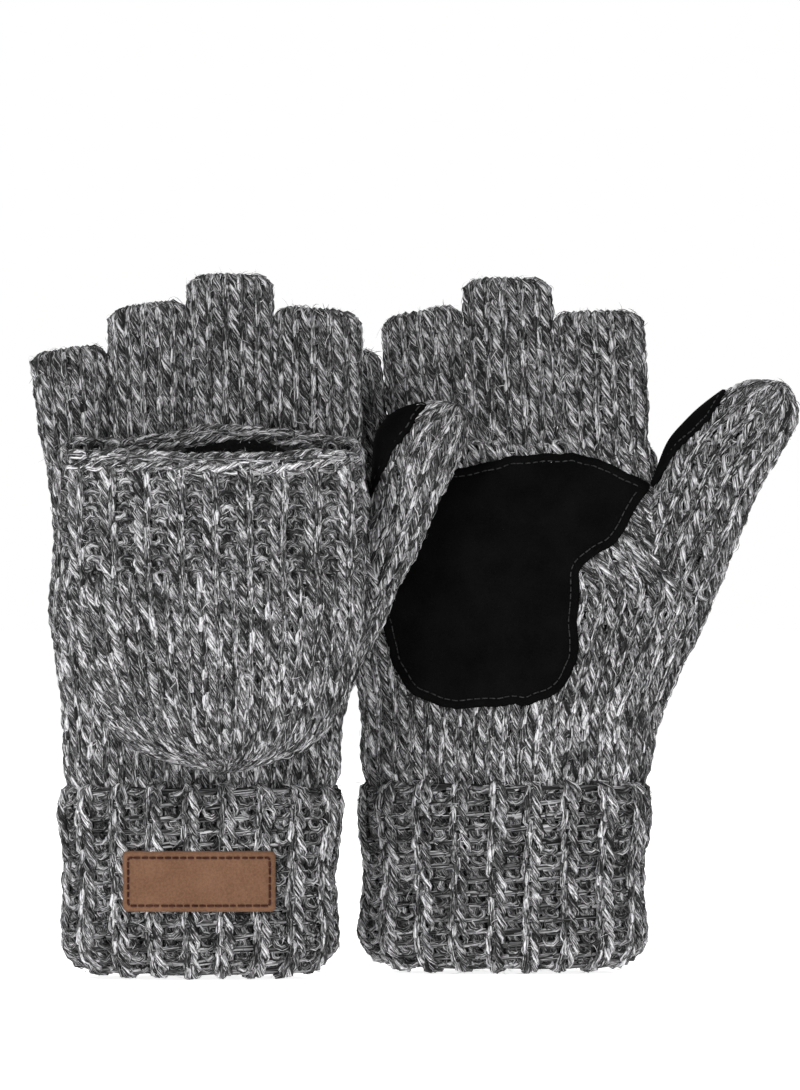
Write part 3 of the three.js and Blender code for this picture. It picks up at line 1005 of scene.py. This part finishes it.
def turn_up(side):
    node = f"{side}_cuff_turnup"
    low, high = box_mm(node)
    rows = softened(level_sections(node, low[2] + CUFF_BOTTOM, high[2] - CUFF_TOP), 2)
    rows = rolled(rolled(rows, 2.4, 150, 1.0), 2.2, 160, 2.0, at_end=False)

    def scallops(points, across, out, turn):
        wave = SCALLOP * np.cos(2 * np.pi * (turn * CUFF_WALES / 2 - 0.25))
        bottom = fading(points[..., 2] - low[2], BOTTOM_FADE)
        top = fading(high[2] - points[..., 2], TOP_FADE)
        corner = np.abs(across) ** 7
        return bottom * (BOTTOM_ROUNDING * corner - wave) + top * (wave - corner)

    surface = skin(rows, FLAT, scallops)
    covered = under_sheet(side, LABEL_STYLE)
    # Painted shade on the deep yarn of the ribs.
    look = {"shade": 1.05, "deep_shade": 0.25, "loose": 1.6}
    thing = knit(f"{node}_knit", surface, CUFF_WALES, rib, True, covered=covered, **look)
    stands_for(thing, f"{side}_cuff", node)
    patch(side, surface, LABEL_STYLE)


def inner_cuff(side):
    node = f"{side}_cuff_inner"
    low, high = box_mm(node)
    rows = level_sections(node, low[2] + 0.3, high[2] - 0.3, 6.0)
    thing = knit(f"{node}_knit", skin(rows, FLAT), CUFF_WALES, rib)
    stands_for(thing, f"{side}_hand", node)


# --- cap

CAP_WALES = 38
TIP_GATHER = 7.5  # the stitches at the tip are gathered this far towards the hand
GATHER_HEIGHT = 9
MOUTH_DROP = 2.6  # the pocket's edge and the cord on it lie this far below the band's top
MOUTH_TUCK = {"left": 0.0, "right": 3.2}  # the mouth is tucked in beside the right thumb
GAPE_SHIFT = 8.0  # the mouth stands open to the right of its middle
GAPE_WIDTH = 19.5
CORD_POINTS = 30
LINING_GAP = 3.6
LINING_COLUMNS = 120
LINING_ROWS = 60


def gape(side, x):
    """How far the mouth of the cap stands open at x: 1 in the middle, 0 at the ends."""
    middle, _ = middle_and_half(f"{side}_cap_rib_band")
    return bell(x - (middle[0] + GAPE_SHIFT), GAPE_WIDTH, 4)


def back_share(side, out):
    """1 on the layer of the cap that lies against the hand, 0 on the outer one."""
    return np.clip(0.5 - SIDES[side] * out * 0.5, 0, 1)


def carried_up(rows, heights):
    """Copies of a tube's last section at each height."""
    top = picked(rows, [-1] * len(heights))
    top.centre[:, 2] = heights
    return top


def pocket_rows(side):
    """The cap's sections from its gathered tip up to its band."""
    low, _ = box_mm(f"{side}_cap_shell")
    band_low, _ = box_mm(f"{side}_cap_rib_band")
    rows = level_sections(f"{side}_cap_shell", low[2] + 0.6, band_low[2] - 1.0)
    to_tip = fading(rows.centre[:, 2] - low[2], GATHER_HEIGHT, 1.5)
    rows.centre[:, 1] -= SIDES[side] * TIP_GATHER * to_tip
    return rows


def cap(side):
    node, band = f"{side}_cap_shell", f"{side}_cap_rib_band"
    outer = SIDES[side]
    low, high = box_mm(node)
    band_low, band_high = box_mm(band)
    plain = pocket_rows(side)
    top = carried_up(plain, np.linspace(band_low[2] + 2, band_high[2] - MOUTH_DROP, TOP_STATIONS))
    centre, half = plain.centre[-1], plain.half[-1]
    right = np.linspace(centre[0] + half, high[0] - MOUTH_TUCK[side], TOP_STATIONS)
    left = np.linspace(centre[0] - half, low[0], TOP_STATIONS)
    top.centre[:, 0] = (left + right) / 2
    top.half = (right - left) / 2

    def back_rise(points, across, out, turn):
        weight = np.clip((points[..., 2] - (band_high[2] - 20)) / 18, 0, 1)
        rise = 4.6 + 2.4 * gape(side, points[..., 0])
        return weight * rise * back_share(side, out)

    surface = skin(softened(joined(plain, top)), FLAT, back_rise)
    band_start = surface.length[-1] - (band_high[2] - band_low[2])

    def kinds(along, wale):
        outside = (wale < CAP_WALES / 2) == (outer > 0)
        ribbed = (along > band_start) & outside & (wale % 2 == 1)
        return np.where(ribbed, -1.0, 1.0)

    def relief(points):
        """A crease under the band and a swelling below it, on the outside only."""
        height = points[..., 2] - band_low[2]
        outside = np.clip(outer * (points[..., 1] - centre[1]) / 6, 0, 1)
        swell = 1.5 * bell(height + 8, 6.5) - 1.7 * bell(height, 1.8)
        return swell * outside + undulation(points)

    # Painted shade: the wool darkens towards the cap's tip, which curves away from the light.
    def shade(points):
        return 0.94 - 0.2 * bell(points[..., 2] - low[2], 16)

    thing = knit(f"{side}_cap_knit", surface, CAP_WALES, kinds, relief=relief, shade=shade)
    stands_for(thing, f"{side}_cap", node, band)
    mouth_cord(side, surface)


def cord(name, path, half, depth, squareness, **look):
    """A chain of stitches along a path that runs across the glove."""
    surface = skin(tube(path, -Z, X, half, depth), squareness)
    return knit(name, surface, 4, relief=undulation, loose=2.2, **look)


def mouth_cord(side, surface):
    """The chain of stitches that finishes the mouth of the cap."""
    outer = SIDES[side]
    band = f"{side}_cap_rib_band"
    _, band_high = box_mm(band)
    turn = np.linspace(0.035, 0.465, CORD_POINTS) + (0.5 if outer < 0 else 0)
    edge, _ = on_skin(surface, turn, np.full(CORD_POINTS, surface.length[-1]))
    edge = edge[np.argsort(edge[:, 0])]
    edge[:, 1] -= outer * 1.4
    edge[:, 2] = band_high[2] - MOUTH_DROP - 1.1 * gape(side, edge[:, 0]) + 0.5 * WAVES(3 * edge)
    chain = cord(f"{side}_cap_mouth_knit", edge, 3.4, 2.0, ROUNDISH, size=0.82)
    stands_for(chain, f"{side}_cap", band)


def lining(side):
    """The black fleece inside the cap. Behind the open part of the mouth it stands higher."""
    _, band_high = box_mm(f"{side}_cap_rib_band")
    mouth = band_high[2]
    rows = pocket_rows(side)
    top = carried_up(rows, np.linspace(rows.centre[-1][2] + 2, mouth, TOP_STATIONS))

    def rise(points, across, out, turn):
        weight = fading(mouth - points[..., 2], 20)
        return weight * (-4.0 + back_share(side, out) * 8.5 * gape(side, points[..., 0]))

    surface = skin(softened(joined(rows, top)), FLAT, rise)
    points, normals, faces = even_grid(surface, 2.0, LINING_ROWS, LINING_COLUMNS)
    points = points - (LINING_GAP + 0.25 * FLEECE_WAVES(points)[:, None]) * normals
    thing = make_object(f"{side}_cap_fleece", points, faces, [FLEECE])
    stands_for(thing, f"{side}_cap", f"{side}_cap_lining")


def knuckle_seam(side):
    """The arched cord of stitches that joins the cap to the hand."""
    node = f"{side}_knuckle_seam"
    low, high = box_mm(node)
    middle = (low + high) / 2
    x = np.linspace(low[0] + 1, high[0], CORD_POINTS)
    z = middle[2] - 2.8 + 5.0 * bell(x - middle[0] - GAPE_SHIFT, 1.4 * GAPE_WIDTH)
    path = np.stack([x, np.full(CORD_POINTS, middle[1] + 2 * SIDES[side]), z], -1)
    chain = cord(f"{node}_knit", path, 3.0, 2.2, 2.0, size=0.8, shade=0.85)
    stands_for(chain, f"{side}_hand", node)


# --- thumb

THUMB_WALES = 12
THUMB_START = 9.0  # sections are read from this far out of the pivot to this far from the tip
THUMB_END = 1.2
THUMB_STATIONS = 22
# Three sections carry the thumb back into the hand: how far back, and their shares of its
# width and depth.
ROOT_STEPS = np.array([18.0, 12.0, 6.0])
ROOT_HALVES = np.array([0.86, 0.96, 1.0])
ROOT_DEPTHS = np.array([0.86, 0.95, 1.0])
# How far the thumb's root is drawn out to meet the edge of the hand, from its lowest section up.
ROOT_REACH = {"left": np.zeros(3), "right": np.array([6.0, 3.6, 1.0])}
# How far the root end and the tip end of a thumb's suede are moved from its CAD patch's ends.
GRIP_ENDS = {"left": (-4.0, 0.0), "right": (-8.0, -8.0)}
GRIP_FRONT = {"left": 7.0, "right": 9.0}
GRIP_BACK = 12.5
GRIP_ROWS = 40
GRIP_COLUMNS = 26
GRIP_THICK = 1.1
GRIP_LEAST = 4.0  # there are no stitches where the suede is narrower than this
GRIP_INSET = 1.8


def thumb(side):
    node = f"{side}_thumb_shell"
    points, _ = cad_mesh(node)
    joint = next(j for j in frame["joints"] if j["name"] == f"{side}_thumb_spread")
    pivot = np.array(joint["pos_m"]) / MM
    tip = points[np.argmax(np.linalg.norm(points - pivot, axis=1))]
    spine = (tip - pivot) * [1, 0, 1]
    reach_mm = np.linalg.norm(spine)
    axis = spine / reach_mm
    across = np.array([axis[2], 0.0, -axis[0]])
    steps = np.linspace(THUMB_START, reach_mm - THUMB_END, THUMB_STATIONS)
    rows = sections(node, [pivot + axis * s for s in steps], axis, across)
    root = picked(rows, [0] * len(ROOT_STEPS))
    root.centre = root.centre - ROOT_STEPS[:, None] * axis
    root.centre = root.centre + ROOT_REACH[side][:, None] / 2 * across
    root.half = root.half * ROOT_HALVES + ROOT_REACH[side] / 2
    root.depth = root.depth * ROOT_DEPTHS
    surface = skin(softened(joined(root, rows), 2), ROUNDISH)
    thing = knit(f"{side}_thumb_knit", surface, THUMB_WALES, shade=0.9)
    stands_for(thing, None, node)
    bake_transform(thing)
    grip(side, surface, axis)


def grip(side, surface, axis):
    """The suede strip that wraps the inner edge of the thumb, wider on the back of it."""
    node = f"{side}_thumb_patch"
    points, _ = cad_mesh(node)
    along_axis = surface.grid.mean(1) @ axis
    ends = np.interp([(points @ axis).min(), (points @ axis).max()], along_axis, surface.length)
    ends += GRIP_ENDS[side]
    around = np.linalg.norm(np.diff(surface.grid, axis=1), axis=2).sum(1)

    def off_edge(offset, along):
        """Points and normals at widths off the thumb's inner edge."""
        turn = 0.5 + offset / np.interp(along, surface.length, around)
        return on_skin(surface, turn, along)

    share = np.linspace(0, 1, GRIP_ROWS)[:, None]
    along = ends[0] + share * (ends[1] - ends[0])
    swell = np.minimum(share / 0.6, 1) ** 0.8 * np.sqrt(np.minimum((1 - share) / 0.25, 1))
    back = GRIP_BACK * swell + 0.05
    front = GRIP_FRONT[side] * swell + 0.05
    low, high = (back, front) if SIDES[side] > 0 else (front, back)
    q = np.linspace(-1, 1, GRIP_COLUMNS)[None]
    base, normals = off_edge(np.where(q < 0, q * low, q * high), along + 0 * q)
    side_room = (1 - np.abs(q)) * np.where(q < 0, low, high)
    end_room = np.minimum(share, 1 - share) * (ends[1] - ends[0])
    rise = rounded_edge(np.minimum(side_room, end_room), GRIP_THICK) + SUEDE_STYLE.lift
    rise = rise + undulation(base) - 1.4 * (side_room < 1e-3)
    points = (base + rise[..., None] * normals).reshape(-1, 3)
    faces = grid_faces(GRIP_ROWS, GRIP_COLUMNS, close_columns=False)
    sheet = make_object(f"{node}_sheet", points, faces, [SUEDE])
    stands_for(sheet, f"{side}_thumb", node)

    lines, outs = [], []
    for edge, room in ((-1, low), (1, high)):
        picked = room[:, 0] > GRIP_LEAST
        fine = np.linspace(0, picked.sum() - 1, 160)
        index = np.arange(picked.sum())
        offset = np.interp(fine, index, edge * (room[picked, 0] - GRIP_INSET))
        base, normals = off_edge(offset, np.interp(fine, index, along[picked, 0]))
        lines.append(base + (GRIP_THICK + 0.05) * normals)
        outs.append(normals)
    threads = stitches(f"{node}_thread", np.concatenate(lines), np.concatenate(outs), SUEDE_STYLE)
    stands_for(threads, f"{side}_thumb", f"{node}_stitching")


# --- stage

# Light: name, place in metres, watts, width.
LAMPS = (
    ("key", (-0.7, -1.2, 1.3), 21, 0.7),
    ("fill", (1.1, -1.2, 0.5), 4, 1.2),
    ("back", (0.7, 1.3, 1.2), 16, 0.9),
)
ROOM_LIGHT = 0.22
FLOOR_HALF = 8000
FLOOR_GLOW = 0.87
LENS = 200.0
SENSOR = 36.0
# The camera looks at this share of the pair's width from its middle and of its height from
# its bottom, and the picture is PICTURE_HEIGHT times as tall as the pair.
LOOK_AT = (-0.0249, 0.6137)
PICTURE_HEIGHT = 1.556


def add_camera(look_at, distance):
    camera = linked("camera", bpy.data.cameras.new("camera"))
    camera.data.lens = LENS
    camera.data.sensor_width = SENSOR
    camera.data.clip_end = 20
    camera.location = look_at - Vector((0, distance, 0))
    camera.rotation_euler = (np.pi / 2, 0, 0)
    bpy.context.scene.camera = camera


def add_floor():
    material, _, surface = new_material("pale_floor", 1.0)
    surface.inputs["Base Color"].default_value = (0.9, 0.9, 0.9, 1)
    surface.inputs["Emission Color"].default_value = (1, 1, 1, 1)
    surface.inputs["Emission Strength"].default_value = FLOOR_GLOW
    corners = FLOOR_HALF * np.array([(-1, -1, 0), (1, -1, 0), (1, 1, 0), (-1, 1, 0)])
    make_object("floor", corners, [(0, 1, 2, 3)], [material])


def add_room():
    """The camera sees a white room, which gives less light than it shows."""
    world = bpy.data.worlds.new("world")
    world.use_nodes = True
    tree = world.node_tree
    seen = tree.nodes.new("ShaderNodeLightPath").outputs["Is Camera Ray"]
    strength = add_node(tree, "ShaderNodeMapRange", Value=seen, To_Min=ROOM_LIGHT, To_Max=1.0)
    background = tree.nodes["Background"]
    tree.links.new(strength.outputs["Result"], background.inputs["Strength"])
    background.inputs["Color"].default_value = (1, 1, 1, 1)
    bpy.context.scene.world = world


def add_lamps(look_at):
    for name, place, power, size in LAMPS:
        lamp = linked(name, bpy.data.lights.new(name, "AREA"))
        lamp.data.energy = power
        lamp.data.size = size
        lamp.location = place
        lamp.rotation_euler = (look_at - lamp.location).to_track_quat("-Z", "Y").to_euler()


def stage():
    low, high = np.array(size_before)
    width, height = high[0] - low[0], high[2] - low[2]
    look_at = Vector((LOOK_AT[0] * width, 0, low[2] + LOOK_AT[1] * height))
    add_camera(look_at, PICTURE_HEIGHT * height * LENS / SENSOR)
    add_floor()
    add_room()
    add_lamps(look_at)
    bpy.context.scene.view_settings.view_transform = "Standard"


# --- the pair

for side in SIDES:
    hand(side)
    for name, tilt, rise in zip(FINGERS, TILTS[side], RISES[side]):
        finger(f"{side}_{name}_finger", side, tilt, rise)
    thumb(side)
    turn_up(side)
    inner_cuff(side)
    cap(side)
    lining(side)
    knuckle_seam(side)
stage()
